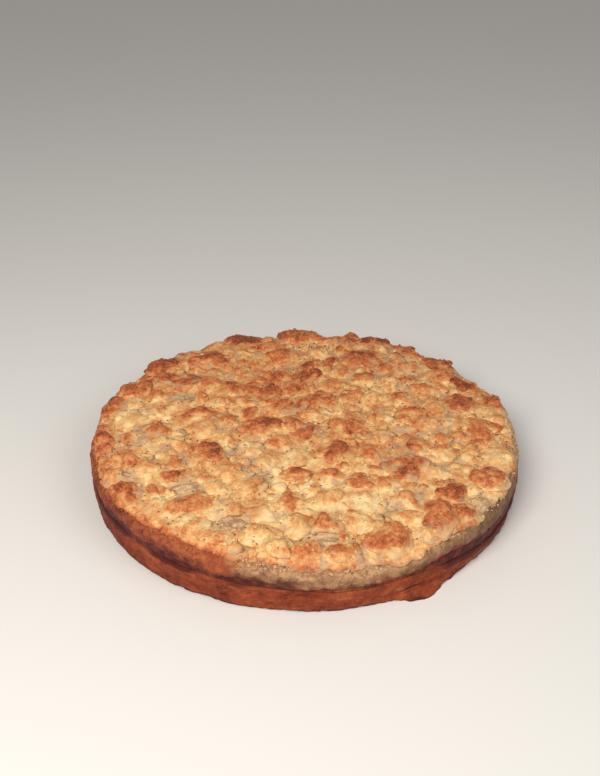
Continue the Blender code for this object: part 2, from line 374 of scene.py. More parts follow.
def onSide(bearing, height):
    # places on the round side, for noise that goes round it without a join
    return atBearing(cake["wallRadius"], bearing, height)


def juiceAt(bearing):
    # how much dark juice shows at a bearing, 0 to 1: most at the seam's gapes, less where
    # it has baked dry
    gape = swell(bearing, [(c, w + 1.5, h) for c, w, h in cake["seamGapes"]]) / (2.6 * mm)
    return np.clip(np.minimum(gape, 1.0) - swell(bearing, cake["bakedDry"]), 0.0, 1.0)


def toastAt(bearing):
    # how far the side and the rim over it are toasted, 0 to 1
    return np.clip(swell(bearing, cake["toasted"]), 0.0, 1.0)


def roughness(places, spec, seed):
    # slow crags and fine grit of noise
    return waved(places, spec["crag"], seed) + waved(places, spec["grit"], seed + 9)


def appleOut(bearing, share, height):
    # radius of the apple layer's side, share of the way down: rounded in at its top, a
    # little at its foot, and craggy
    side = cake["appleSide"]
    foot = side["foot"] * (0.2 + 0.8 * juiceAt(bearing)) * fade(share, 0.85, 1.0)
    inset = side["top"] * fade(share, 0.5, 0.0) ** 1.5 + foot
    rough = roughness(onSide(bearing, height), side, 501)
    return cake["wallRadius"] + 0.1 * mm - inset + swell(bearing, cake["wallRises"]) + rough


def crustTop(radius, bearing):
    rise = swell(bearing, cake["seamRises"]) - 0.5 * swell(bearing, cake["seamGapes"])
    return cake["crustHeight"] + rise * nearSide(radius)


def seamTop(radius, bearing):
    gape = swell(bearing, cake["seamGapes"]) * nearSide(radius)
    return crustTop(radius, bearing) + cake["seamHeight"] + gape


def appleTop(radius, bearing):
    level = cake["crustHeight"] + cake["seamHeight"] + cake["appleHeight"]
    return level + swell(bearing, cake["rimRises"] + cake["rimDips"]) * nearSide(radius)


def bedTop(radius, bearing):
    dome = cake["domeDrop"] * (radius / cake["coreRadius"]) ** 5
    return appleTop(radius, bearing) + cake["crumbleCore"] - dome


# where the clumps lie: x, y, across and deep in millimetres, turn in degrees, browning
mainClumps = [
    # front
    (-56, -38, 31, 19, -50, 1.0), (-88, -10, 19, 17, 0, 0.8), (-103, -38, 17, 16, 0, 0.6),
    (-73, -58, 19, 13, 10, 0.95), (-96, -72, 25, 16, -50, 0.8), (-60, -82, 32, 20, 5, 0.8),
    (-4, -57, 20, 12, -10, 0.75), (-8, -80, 15, 20, 0, 0.9), (57, -48, 24, 24, 0, 1.0),
    (31, -64, 19, 16, 0, 0.7), (78, -70, 20, 20, 10, 0.95), (72, -92, 19, 25, 15, 0.85),
    (85, -86, 14, 15, 0, 0.9), (103, -57, 24, 18, 0, 0.85), (43, -106, 22, 28, 0, 0.65),
    (-22, -104, 20, 18, 0, 0.5), (21, -119, 19, 14, 10, 0.6), (1, -118, 17, 13, 0, 0.4),
    (-45, -109, 19, 14, -20, 0.3), (63, -104, 16, 14, 30, 0.2),
    # middle
    (-27, -9, 28, 18, 15, 1.0), (3, -13, 14, 15, 0, 0.8), (27, -8, 20, 26, 10, 0.7),
    (16, -36, 18, 24, -25, 0.78), (97, 20, 20, 18, 0, 0.9), (-67, 4, 24, 17, 0, 0.9),
    (-28, 34, 22, 16, 0, 0.7), (106, -8, 20, 20, 0, 0.7), (-120, 17, 21, 19, 80, 0.7),
    (-119, -14, 15, 24, 0, 0.7), (119, 24, 18, 19, 0, 0.7),
    # back
    (1, 55, 14, 24, -15, 0.9), (40, 76, 26, 20, 0, 0.8), (-14, 79, 24, 20, 0, 0.7),
    (-43, 103, 26, 20, 20, 0.9), (-3, 107, 35, 17, 0, 0.8), (30, 108, 19, 17, 0, 0.7),
    (49, 104, 20, 18, -25, 0.95), (-62, 71, 28, 20, 15, 0.7), (-93, 68, 28, 18, 35, 0.8),
    (-82, 45, 32, 18, 10, 0.8), (-107, 36, 24, 20, 60, 0.8), (89, 71, 18, 20, -40, 0.9),
    (70, 91, 19, 18, -35, 0.7), (103, 47, 17, 22, 20, 0.8),
]
mainCount = len(mainClumps)
clumpRule = {
    "fillSizes": [(17, 900), (14, 900), (11, 900)],  # millimetres across, places tried
    "fillReach": 127.0,
    "crowding": 0.88,
    "bareDip": -1.0 * mm,  # no clump is dropped where the rim dips more than this
    "seed": 2611,
    "least": 1.7 * mm,  # half height of the least clump
    "growth": 0.23,
    "lift": 0.28,
    "smallSizes": [(8.5, 2600), (6.5, 4200), (5.0, 5200)],  # crumbs that only the looks have
    "smallCrowding": 0.80,
    "brown": (0.12, 0.85),  # of the clumps that are dropped
    "smallBrown": 0.7,
    "mainBrown": 1.05,
}


def hasRoom(x, y, half, placed, crowding):
    return all(
        math.hypot(x - other[0], y - other[1]) >= crowding * (half + (other[2] + other[3]) / 4)
        for other in placed
    )


def dropClumps(placed, draw, sizes, crowding):
    # random places, kept where there is room, the largest size first
    for size, tries in sizes:
        for _ in range(tries):
            reach = (clumpRule["fillReach"] - size / 2) * math.sqrt(draw.random())
            bearing = draw.uniform(0.0, 2.0 * math.pi)
            x, y = reach * math.cos(bearing), reach * math.sin(bearing)
            across = size * draw.uniform(0.9, 1.15)
            deep = across * draw.uniform(0.72, 1.0)
            turn = draw.uniform(0.0, 180.0)
            dip = swell(math.degrees(bearing), cake["rimDips"]) * nearSide(reach * mm)
            if dip > clumpRule["bareDip"] and hasRoom(x, y, (across + deep) / 4, placed, crowding):
                placed.append((x, y, across, deep, turn))


def clumpLayout():
    placed = [clump[:5] for clump in mainClumps]
    draw = random.Random(clumpRule["seed"])
    dropClumps(placed, draw, clumpRule["fillSizes"], clumpRule["crowding"])
    large = len(placed)
    dropClumps(placed, draw, clumpRule["smallSizes"], clumpRule["smallCrowding"])
    table = np.array(placed)
    table[:, :4] *= mm
    brown = np.random.default_rng(clumpRule["seed"]).uniform(*clumpRule["brown"], len(table))
    brown[large:] *= clumpRule["smallBrown"]
    brown[:mainCount] = [clumpRule["mainBrown"] * clump[5] for clump in mainClumps]
    return table, brown, large


clumps, clumpBrown, solidClumps = clumpLayout()
print("clumps placed:", solidClumps, "large,", len(clumps) - solidClumps, "small")

# pieces of apple that show in the crumble: x, y, long and wide in millimetres, turn in degrees
appleBits = [
    (-99, -15, 20, 13, 70), (-66, -66, 20, 9, 25), (-37, -96, 17, 11, -10), (-24, -57, 13, 9, 40),
    (11, -108, 18, 9, 0), (84, -47, 17, 9, 15), (59, -74, 14, 10, 60), (-100, -54, 14, 9, -20),
    (96, -76, 13, 9, 50), (42, 52, 17, 10, 20), (-76, 26, 16, 10, 0), (70, 62, 15, 9, -30),
]

# crumble relief: how far the bed between the clumps stands off its smooth top
relief = {
    "blend": 1.0 / (0.6 * mm),  # softness of the crease where crumbs meet
    "apron": 0.7,  # height of the skirt round a clump, as a share of the clump's
    "apronReach": 1.35,
    "crumbRise": 0.4,  # height of a small crumb, as a share of its half width
    "warp": 2.2 * mm,
    "warpSize": 9.0 * mm,
    # height and size
    "nodule": (0.75 * mm, 6.2 * mm),
    "bead": (0.3 * mm, 2.4 * mm),
    "heave": (1.1 * mm, 14.0 * mm),
    "crack": (1.6 * mm, 11.0 * mm),
    "crackWarp": 1.6 * mm,
    "sink": 0.6 * mm,  # how far the bed lies under its smooth top on average
    "bitSink": 0.8 * mm,  # round the pieces of apple
}
# browning and damp of the crumble; the first three: bearing, half-width in degrees, strength
browning = {
    "edge": [(265, 24, 1.3), (225, 24, 0.7), (90, 70, 0.7)],
    # the bump at 303 darkens the front-right rim: painted shade
    "rim": [(204, 18, 0.2), (230, 8, 0.06), (268, 16, 0.13), (303, 12, 0.14), (150, 30, 0.1)],
    # painted shade on the rim at the right, laid on as the grey wet tone
    "rimShade": [(302, 12, 0.5), (20, 30, 0.3)],
    # x, y, half-width in millimetres, change
    "patches": [
        (-55, -88, 24, -0.09), (-85, 70, 42, -0.08), (85, 65, 42, -0.08), (-8, -100, 20, -0.06),
        (0, -127, 9, 0.06), (102, -27, 24, 0.06), (62, -90, 26, -0.06), (-50, 8, 24, -0.04),
    ],
    # darker towards the back: partly browning, partly painted shade where the light falls off
    "back": 0.15,
    "noise": (0.16, 36.0 * mm),
}


def domes(x, y, table, rises, brown):
    # Each crumb is a dome rise * (1 - s^2)^0.7, s being the distance from its middle in half
    # widths. They join by a soft maximum, log(sum of exp(blend * dome)) / blend.
    total = np.ones(len(x))
    browned = np.zeros(len(x))
    for (cx, cy, across, deep, turn), rise, share in zip(table, rises, brown):
        near = np.nonzero((np.abs(x - cx) < across) & (np.abs(y - cy) < across))[0]
        u, v = turnedInto(x[near] - cx, y[near] - cy, turn)
        inside = np.clip(1.0 - (u / (across * 0.56)) ** 2 - (v / (deep * 0.56)) ** 2, 0.0, 1.0)
        weight = np.exp(relief["blend"] * rise * inside ** 0.7) - 1.0
        total[near] += weight
        browned[near] += weight * share * inside
    return np.log(total) / relief["blend"], browned / total


def zoneTone(x, y):
    # slow browning over the whole cake: darker at the back, partly painted shade where light falls
    # off; patches of noise, and the rim browner where the side is toasted
    bearing = bearingOf(x, y)
    rim = 0.05 + 0.1 * toastAt(bearing) + swell(bearing, browning["rim"])
    total = browning["back"] * y / cake["coreRadius"] + rim * fade(np.hypot(x, y), 111 * mm, 125 * mm)
    total += waved(spaced(x, y), browning["noise"], 631)
    for px, py, halfWidth, change in browning["patches"]:
        total += change * np.exp(-((x / mm - px) ** 2 + (y / mm - py) ** 2) / halfWidth ** 2)
    return total


def greyRim(x, y):
    # how far the outermost crumbs take the grey tone of the layer under them; on the right of
    # the rim, painted shade from rimShade
    radius = np.hypot(x, y)
    rimShaded = swell(bearingOf(x, y), browning["rimShade"]) * fade(radius, 112.0 * mm, 122.0 * mm)
    return np.maximum(0.5 * fade(radius, 123.0 * mm, 128.0 * mm), rimShaded)


def appleShare(x, y, grow):
    # 1 over the pieces of apple, falling to 0 at grow times their half sizes
    most = np.zeros_like(x)
    for cx, cy, long, wide, turn in appleBits:
        u, v = turnedInto(x - cx * mm, y - cy * mm, turn)
        away = np.hypot(u / (long / 2 * mm), v / (wide / 2 * mm))
        most = np.maximum(most, fade(away, grow, 0.7))
    return most


def soakedAt(x, y):
    # small patches where the crumble has soaked up juice: slow noise, broken up by fine noise
    flat = spaced(x, y)
    slow = fade(layeredNoise(flat, 10.0 * mm, 57, 2), 0.17, 0.34)
    return slow * fade(smoothNoise(flat, 3.4 * mm, 59), -0.5, 0.2)


def crumbleRelief(x, y):
    # aprons under the clumps and domes for the small crumbs, on places strayed by noise,
    # then rounded cells 0.5 - distance^2 in two sizes, less cracks along cell borders
    flat = spaced(x, y)
    strayX = layeredNoise(flat, relief["warpSize"], 11, 2)
    strayY = layeredNoise(flat, relief["warpSize"], 23, 2)
    wx, wy = x + relief["warp"] * strayX, y + relief["warp"] * strayY
    half = (clumps[:, 2] + clumps[:, 3]) / 4
    large = np.arange(len(clumps)) < solidClumps
    rises = (clumpRule["least"] + clumpRule["growth"] * half) * (1.0 + clumpRule["lift"])
    rises = np.where(large, rises * relief["apron"], relief["crumbRise"] * half)
    table = clumps.copy()
    table[large, 2:4] *= relief["apronReach"]
    height, browned = domes(wx, wy, table, rises, clumpBrown * np.where(large, 0.35, 0.8))
    bare = fade(height, 2.0 * mm, 0.7 * mm)
    nodule, noduleSize = relief["nodule"]
    bead, beadSize = relief["bead"]
    crackDepth, crackSize = relief["crack"]
    raised = roundedCells(spaced(wx, wy, height), noduleSize, 5, 0.5)
    height += nodule * raised + waved(flat, relief["heave"], 67) - relief["sink"]
    height += bead * roundedCells(spaced(x, y, height), beadSize, 41, 0.5)
    warped = spaced(x + relief["crackWarp"] * strayY, y + relief["crackWarp"] * strayX)
    nearest, second = cellNoise(warped, crackSize, 77, True)
    crack = fade(second - nearest, 0.09, 0.02) * fade(layeredNoise(flat, 15.0 * mm, 91, 2), 0.0, 0.25)
    crack *= fade(smoothNoise(flat, 3.2 * mm, 93), -0.15, 0.15)
    height -= crackDepth * crack + relief["bitSink"] * appleShare(x, y, 1.5)
    tone = 0.2 + browned * 0.6 + 0.22 * raised + zoneTone(x, y)
    damp = fade(layeredNoise(flat, 14.0 * mm, 57, 2), -0.04, 0.16)
    wet = np.maximum(appleShare(x, y, 1.9), 0.85 * bare * damp)
    return height, tone, crack, np.maximum(wet, 0.9 * soakedAt(x, y))


# crumble bed: a disc of points on nested squares, over the rim and closed underneath
crumble = {
    "topRings": 144,
    "rimRings": 9,
    "underRings": 2,
    "topRadius": 122.6 * mm,
    "rimDrop": 1.2 * mm,  # how far the rim hangs below the apple layer's top, and how uneven
    "rimWaver": 2.4 * mm,
    "rimNodule": 1.8 * mm,
    "rimLeast": 0.3 * mm,
    "rimCut": 0.4 * mm,
    "innerRadius": 116.0 * mm,
    "calmRim": 117.0 * mm,  # from here out to the rim the relief is lower by this share
    "calm": 0.2,
    "colours": [
        (0.0, 240, 212, 158), (0.16, 232, 190, 130), (0.34, 217, 159, 101), (0.54, 204, 123, 73),
        (0.74, 180, 96, 54), (1.0, 130, 66, 38),
    ],
    "soaked": [(176, 138, 106), (208, 172, 134)],
    # painted shade in the cracks of bed and clumps
    "crackShade": (106, 62, 40),
    "slot": "golden_crumble",
}


def crumbleSurface(bearing, top, rim=0.0, under=0.0):
    # top: distance from the middle over the top; rim: 0 to 1 down the rim, a quarter of an
    # ellipse; under: 0 to 1 inwards underneath. The relief stands off upwards on top and
    # outwards at the rim
    outward, upward = np.sin(rim * math.pi / 2), np.cos(rim * math.pi / 2)
    side = onSide(bearing, 0.0)
    waver = layeredNoise(side, 12.0 * mm, 611, 3)
    drop = crumble["rimDrop"] + crumble["rimWaver"] * waver
    drop += crumble["rimNodule"] * roundedCells(side, 6.0 * mm, 615, 0.4)
    toast = toastAt(bearing)
    drop = crumble["rimLeast"] + np.maximum(drop, 0.0) * (1.0 - 0.5 * toast)
    shoulder = appleTop(cake["shownRadius"], bearing) - cake["gap"]
    tall = shoulder - seamTop(cake["shownRadius"], bearing) - cake["gap"]
    edge = appleOut(bearing, drop / tall, shoulder - drop) + 0.1 * mm
    radius = np.minimum(top, crumble["topRadius"])
    radius = radius + (edge - radius) * outward
    radius = radius + (crumble["innerRadius"] - radius) * under
    bed = bedTop(radius, bearing)
    hung = appleTop(np.minimum(radius, cake["shownRadius"]), bearing) + cake["gap"] - drop * (1.0 - under)
    mapRadius = top + 5.0 * mm * rim
    height, tone, crack, wet = crumbleRelief(*atBearing(mapRadius, bearing)[:, :2].T)
    calmed = fade(top, crumble["calmRim"], crumble["topRadius"])
    height = height * (1.0 - crumble["calm"] * calmed)
    height = (height * (1.0 - 0.45 * rim ** 2) - crumble["rimCut"] * rim ** 2) * (1.0 - under)
    z = np.maximum(bed + (hung - bed) * (1.0 - upward) + height * upward, hung)
    points = atBearing(np.minimum(radius + height * outward, cake["reach"]), bearing, z)
    lowEdge = rim + 0.5 * waver
    wet = np.maximum(wet * (1.0 - toast * calmed), 0.55 * fade(lowEdge, 0.45, 1.0) * (1.0 - toast))
    tone = tone + (0.3 * swell(bearing, browning["edge"]) + 0.2 * toast) * fade(lowEdge, 0.2, 0.9)
    return points, tone, crack, wet


def buildCrumble(material):
    # each nested square of grid points becomes a ring: the bearing runs evenly along its sides
    topEnd = crumble["topRings"]
    rimEnd = topEnd + crumble["rimRings"]
    rings = rimEnd + crumble["underRings"]
    side = np.arange(-rings, rings + 1)
    a, b = (part.ravel() for part in np.meshgrid(side, side, indexing="ij"))
    ring = np.maximum(np.abs(a), np.abs(b))
    wide = np.abs(a) >= np.abs(b)
    with np.errstate(divide="ignore", invalid="ignore"):
        bearing = np.where(wide, 45.0 * b / a, 90.0 - 45.0 * a / b)
    bearing = np.where(np.where(wide, a, b) < 0, bearing + 180.0, bearing)
    bearing = np.nan_to_num(bearing) % 360.0
    top = np.minimum(ring / topEnd, 1.0) * crumble["topRadius"]
    rim = np.clip((ring - topEnd) / crumble["rimRings"], 0.0, 1.0)
    under = np.clip((ring - rimEnd) / crumble["underRings"], 0.0, 1.0)
    points, tone, crack, wet = crumbleSurface(bearing, top, rim, under)
    index = np.arange(len(a)).reshape(len(side), len(side))
    quads = np.stack([index[:-1, :-1], index[1:, :-1], index[1:, 1:], index[:-1, 1:]], axis=-1).reshape(-1, 4)
    outline = np.concatenate([index[0, :-1], index[:-1, -1], index[-1, :0:-1], index[:0:-1, 0]])
    points = np.concatenate([points, [[0.0, 0.0, float(appleTop(0.0, 0.0)) + cake["gap"]]]])
    attributes = {"tone": np.append(tone, 0.2), "crack": np.append(crack, 0.0), "wet": np.append(wet, 0.0)}
    faces = [quads, fan(len(a), outline)]
    obj = meshObject("crumble_bed", points, faces, material, attributes)
    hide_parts("crumble")
    print("crumble bed made:", len(obj.data.polygons), "faces")


def crumbleMaterial():
    material, tree, shader, place = newMaterial("golden_crumble")
    kinds = (8, 4.0, 0.6), (2.6, 3.0, 0.6), (0.9, 2.0, 0.6), (2, 3.0, 0.7)
    patch, blot, grain, mottle = noisesOf(tree, place, *kinds)
    tone = calculated(
        tree, "ADD", attributeOf(tree, "tone"), spread(tree, patch, -0.18, 0.22),
        spread(tree, blot, -0.1, 0.08), spread(tree, grain, -0.05, 0.03),
    )
    tone = calculated(tree, "MULTIPLY", tone, rescaled(tree, mottle, 0.34, 0.66, 0.8, 1.24))
    soaked = mixed(tree, rescaled(tree, blot, 0.35, 0.65), *crumble["soaked"])
    colour = rampOf(tree, tone, crumble["colours"])
    colour = mixed(tree, rescaled(tree, attributeOf(tree, "wet"), 0.1, 0.8, 0.0, 0.85), colour, soaked)
    # the cracks are painted darker: painted shade in them
    crack = rescaled(tree, attributeOf(tree, "crack"), 0.2, 0.9, 0.0, 0.7)
    colour = mixed(tree, crack, colour, crumble["crackShade"])
    painted(shader, colour, 0.78, 0.35, [(grain, 0.26 * mm), (blot, 0.3 * mm)])
    return material


crumblePaint = crumbleMaterial()
buildCrumble(crumblePaint)


# clumps: rounded nuggets of crumble, separate closed lumps set in the bed
bigClumps = {
    "rings": 26, "lowRings": 3, "around": 66, "uneven": 0.6, "nodule": 0.9 * mm, "cell": 7.0 * mm,
    "bead": 0.26 * mm, "grit": 0.2 * mm, "flare": (1.1, 1.6), "tallest": 0.85, "crest": (0.11, 1.02),
}
fillClumps = {
    "rings": 13, "lowRings": 2, "around": 46, "uneven": 0.7, "nodule": 0.7 * mm, "cell": 6.5 * mm,
    "bead": 0.26 * mm, "grit": 0.2 * mm, "flare": (1.3, 2.0), "tallest": 0.85, "crest": (0.32, 1.24),
}
smallClumps = {
    "rings": 4, "lowRings": 1, "around": 10, "uneven": 0.6, "nodule": 0.6 * mm, "cell": 5.0 * mm,
    "bead": 0.4 * mm, "grit": 0.4 * mm, "flare": (1.1, 1.7), "tallest": 0.62, "crest": (0.26, 1.14),
}
lumps = {
    "reach": 1.4,  # how fast the slow noise changes over a lump
    "stray": (1.2 * mm, 4.0 * mm),  # height and size of the noise that bends the cells
    "cellTop": 0.42,
    "beadSize": 2.3 * mm,
    "gritSize": 1.5 * mm,
    "patchSize": 7.0 * mm,
    "scorchSize": 5.5 * mm,
    "crackSize": 7.0 * mm,
    "drooping": (122.5 * mm, 129.0 * mm),  # between these radii the lumps sink at the rim
    "droop": 1.6 * mm,
    "floorDroop": 2.4 * mm,
}
rimNuggets = {
    "count": 120, "least": 3.5 * mm, "most": 8.5 * mm, "inner": 119.0 * mm, "outer": 124.6 * mm, "seed": 55,
    # bearing, radius and width in millimetres, at the feet of the clumps in front
    "placed": [
        (274, 124, 5), (277.5, 122.5, 6), (281, 124, 5), (285, 122.5, 6), (288.5, 124, 6.5),
        (291.5, 122.5, 5), (294.5, 124, 7), (297.5, 122, 5.5), (300.5, 124, 6.5), (304, 123, 6),
        (308, 124, 5.5), (268, 123.5, 6),
    ],
}


def heldIn(points, floorLift):
    # kept inside the crumble's reach and floorLift above the apple layer, drooping over its
    # shoulder at the rim
    x, y, z = np.moveaxis(points, -1, 0)
    radius = np.maximum(np.hypot(x, y), 1e-9)
    held = radius - cake["overhang"] * np.maximum(radius - cake["shoulder"], 0.0)
    shrink = np.minimum(held, cake["reach"]) / radius
    lowest = appleTop(np.minimum(radius, cake["shownRadius"]), bearingOf(x, y)) + floorLift
    share = fade(radius, *lumps["drooping"])
    z = np.maximum(z - lumps["droop"] * share, lowest - lumps["floorDroop"] * share)
    return spaced(x * shrink, y * shrink, z)


def buildClumps(name, table, brown, spec, seed, lift=0.0, floorLift=1.2 * mm):
    # Each lump is an ellipsoid across, deep and twice its rise, whose upper half has heights
    # cos(tilt)^flare, so that it runs out gently at its foot. Its points stray outwards by
    # slow noise, stand off in rounded cells 0.42 - distance^2 of two sizes, and are browned
    # by how far they are above the bed
    draw = np.random.default_rng(seed)
    count = len(table)
    ball, faces = lumpGrid(spec["rings"], spec["around"], spec["lowRings"])
    x, y, across, deep, turns = table.T
    turns = np.radians(turns)
    half = (across + deep) / 4
    rise = np.minimum(clumpRule["least"] + clumpRule["growth"] * half, spec["tallest"] * half)
    halves = np.stack([across / 2, deep / 2, rise], axis=1)[:, None]
    slow = layeredNoise(ball * lumps["reach"] + draw.uniform(0.0, 90.0, (count, 1, 3)), 1.0, seed, 2)
    flare = draw.uniform(*spec["flare"], (count, 1))
    upright = np.clip(ball[:, 2], 0.0, 1.0) ** flare + np.minimum(ball[:, 2], 0.0)
    local = spaced(ball[:, 0], ball[:, 1], upright) * halves * (1.0 + spec["uneven"] * slow)[..., None]
    out = ball / halves
    outward = turnedAbout(out / np.linalg.norm(out, axis=-1, keepdims=True), turns)
    bearing = bearingOf(x, y)
    bed = bedTop(np.minimum(np.hypot(x, y), cake["coreRadius"]), bearing)
    centre = np.stack([x, y, bed + clumpRule["lift"] * rise + lift], axis=1)
    world = turnedAbout(local, turns) + centre[:, None]
    stray, straySize = lumps["stray"]
    strayed = world + stray * smoothNoise(world, straySize, seed + 5)[..., None]
    nodules = roundedCells(strayed, spec["cell"], seed + 1, lumps["cellTop"])
    beads = roundedCells(strayed, lumps["beadSize"], seed + 2, lumps["cellTop"])
    stand = spec["nodule"] * nodules + spec["bead"] * beads
    stand += spec["grit"] * smoothNoise(world, lumps["gritSize"], seed + 3)
    world = heldIn(world + outward * stand[..., None], floorLift)
    wx, wy, wz = np.moveaxis(world, -1, 0)
    share = (wz - bed[:, None]) / (rise * (1.0 + clumpRule["lift"]))[:, None]
    patchy = layeredNoise(world, lumps["patchSize"], seed + 7, 2)
    crest = fade(share + 0.3 * slow + 0.35 * patchy, *spec["crest"])
    scorch = fade(layeredNoise(world, lumps["scorchSize"], seed + 13, 2), 0.0, 0.5) * crest
    tone = 0.15 + brown[:, None] * (0.62 * crest + 0.24 * scorch) + 0.12 * nodules + zoneTone(wx, wy)
    outer = fade(np.hypot(wx, wy), 121 * mm, 127 * mm) * fade(share, 0.7, 0.1)
    tone += 0.3 * swell(bearing, browning["edge"])[:, None] * outer
    wet = 0.7 * fade(share, 0.5, 0.1) * draw.uniform(0.0, 1.0, count)[:, None]
    # grey of the layer under the outer crumbs, with painted shade at the right of the rim
    greyAndShade = greyRim(wx, wy) * (1.0 - toastAt(bearing))[:, None]
    soaked = np.maximum(0.7 * appleShare(wx, wy, 1.7), 0.95 * soakedAt(wx, wy))
    wet = np.maximum(wet, np.maximum(greyAndShade, soaked) * fade(share, 1.0, 0.5))
    # cracks along cell borders on the lower part of each lump, painted darker as shade
    nearest, second = cellNoise(world + stray * patchy[..., None], lumps["crackSize"], seed + 9)
    crack = fade(second - nearest, 0.06, 0.015) * fade(share, 1.0, 0.6)
    crack *= fade(smoothNoise(world, 13.0 * mm, seed + 11), 0.1, 0.3)
    crack *= fade(smoothNoise(world, 3.2 * mm, seed + 12), 0.0, 0.2)
    obj = lumpsObject(name, world, faces, crumblePaint, {"tone": tone, "crack": crack, "wet": wet})
    print(name, "made:", count, "lumps,", len(obj.data.polygons), "faces")
    bare = share > 0.35
    return world[bare], tone[bare]


def rimPlaces():
    # nuggets strewn along the edge, where the crumble rolls over the apple layer, and those
    # listed: the clumps' table of places and sizes, and their browning
    draw = np.random.default_rng(rimNuggets["seed"])
    count = rimNuggets["count"]
    bearings, radii, widths = np.array(rimNuggets["placed"]).T
    bearing = np.append(np.degrees(draw.uniform(0.0, 2.0 * math.pi, count)), bearings)
    radius = np.append(draw.uniform(rimNuggets["inner"], rimNuggets["outer"], count), radii * mm)
    wider = (rimNuggets["most"] - rimNuggets["least"]) * draw.uniform(0.0, 1.0, count) ** 1.6
    across = np.append(rimNuggets["least"] + wider, widths * mm)
    count = len(across)
    deep, turn = across * draw.uniform(0.7, 1.0, count), draw.uniform(0.0, 180.0, count)
    brown = 0.5 * draw.uniform(0.0, 1.0, count) ** 1.5
    return np.stack([*atBearing(radius, bearing)[:, :2].T, across, deep, turn], axis=1), brown


def rowsOf(rows):
    return clumps[rows], clumpBrown[rows]


offBits = appleShare(clumps[solidClumps:, 0], clumps[solidClumps:, 1], 1.3) < 0.4
nuggets = solidClumps + np.nonzero(offBits)[0][::3]
lumpSkins = [
    buildClumps("crumble_clumps_big", *rowsOf(slice(mainCount)), bigClumps, 801),
    buildClumps("crumble_clumps_fill", *rowsOf(slice(mainCount, solidClumps)), fillClumps, 811),
]
buildClumps("crumble_nuggets", *rowsOf(nuggets), smallClumps, 821, -0.2 * mm)
buildClumps("crumble_rim_nuggets", *rimPlaces(), smallClumps, 831, -0.6 * mm, -1.2 * mm)


# sides of the three lower layers: arrays of rings x around, from the top down
def evenBearings(spec):
    return np.arange(spec["around"]) * 360.0 / spec["around"]


def stacked(above, side, below):
    # a side's rings between further rings, each of them one number or one value a bearing
    return np.stack([np.broadcast_to(ring, side.shape[1]) for ring in (*above, *side, *below)])


def bandRings(rings, bearings, bottom, top):
    # share of the way down and height of even rings from a layer's top edge to its bottom
    high = top(cake["shownRadius"], bearings) - cake["gap"]
    low = bottom(cake["shownRadius"], bearings) + cake["gap"]
    share = np.linspace(0.0, 1.0, rings)[:, None]
    return share, high + (low - high) * share


def closedBand(radius, height, bearings, bottom, top):
    # the band with two more rings above and two below, which run in to the hidden radius
    inner = [cake["hiddenRadius"], cake["shownRadius"]]
    above = [top(reach, bearings) - cake["gap"] for reach in inner]
    below = [bottom(reach, bearings) + cake["gap"] for reach in inner[::-1]]
    return stacked(inner, radius, inner[::-1]), stacked(above, height, below)


# shortcrust base: its side, from under the seam down to the foot and under
crust = {
    "around": 900,
    "wallRings": 42,
    # height and size
    "crag": (0.8 * mm, 13.0 * mm),
    "grit": (0.42 * mm, 2.8 * mm),
    "footRoll": 0.7 * mm,
    "footRings": [118.0 * mm, 60.0 * mm],
    "notch": 1.3 * mm,  # how far the broken foot edge is eaten in
    "flake": [(299, 6.5, 6.5 * mm)],
    "flakeHeight": 4.0 * mm,
    "groove": [
        (294, 9, 0.9 * mm), (264, 5, 0.6 * mm), (226, 7, 0.7 * mm), (350, 9, 0.7 * mm),
        (140, 12, 0.8 * mm),
    ],
    "grooveHeight": 6.2 * mm,
    "grooveHalf": 0.9 * mm,
    "soaked": [(321, 15, 1.0), (232, 9, 0.5), (212, 8, 0.5), (100, 16, 0.7)],
    # darker wall at these bearings: painted shade at the far left (196) and the right (336), a dark stain at
    # 220, darker crust at the back (90)
    "darkWall": [(196, 15, 0.8), (220, 10, 0.4), (336, 22, 0.55), (90, 40, 0.3)],
    "colours": [(0.08, 82, 36, 25), (0.3, 123, 54, 35), (0.6, 154, 74, 45), (0.95, 188, 104, 64)],
    # juice stain, also painted in the grooves as shade
    "stainAndGrooveShade": (80, 32, 28),
    # colour of the darker foot and of the painted shade on the wall
    "darkenedColour": (48, 26, 24),
    "slot": "browned_shortcrust",
}


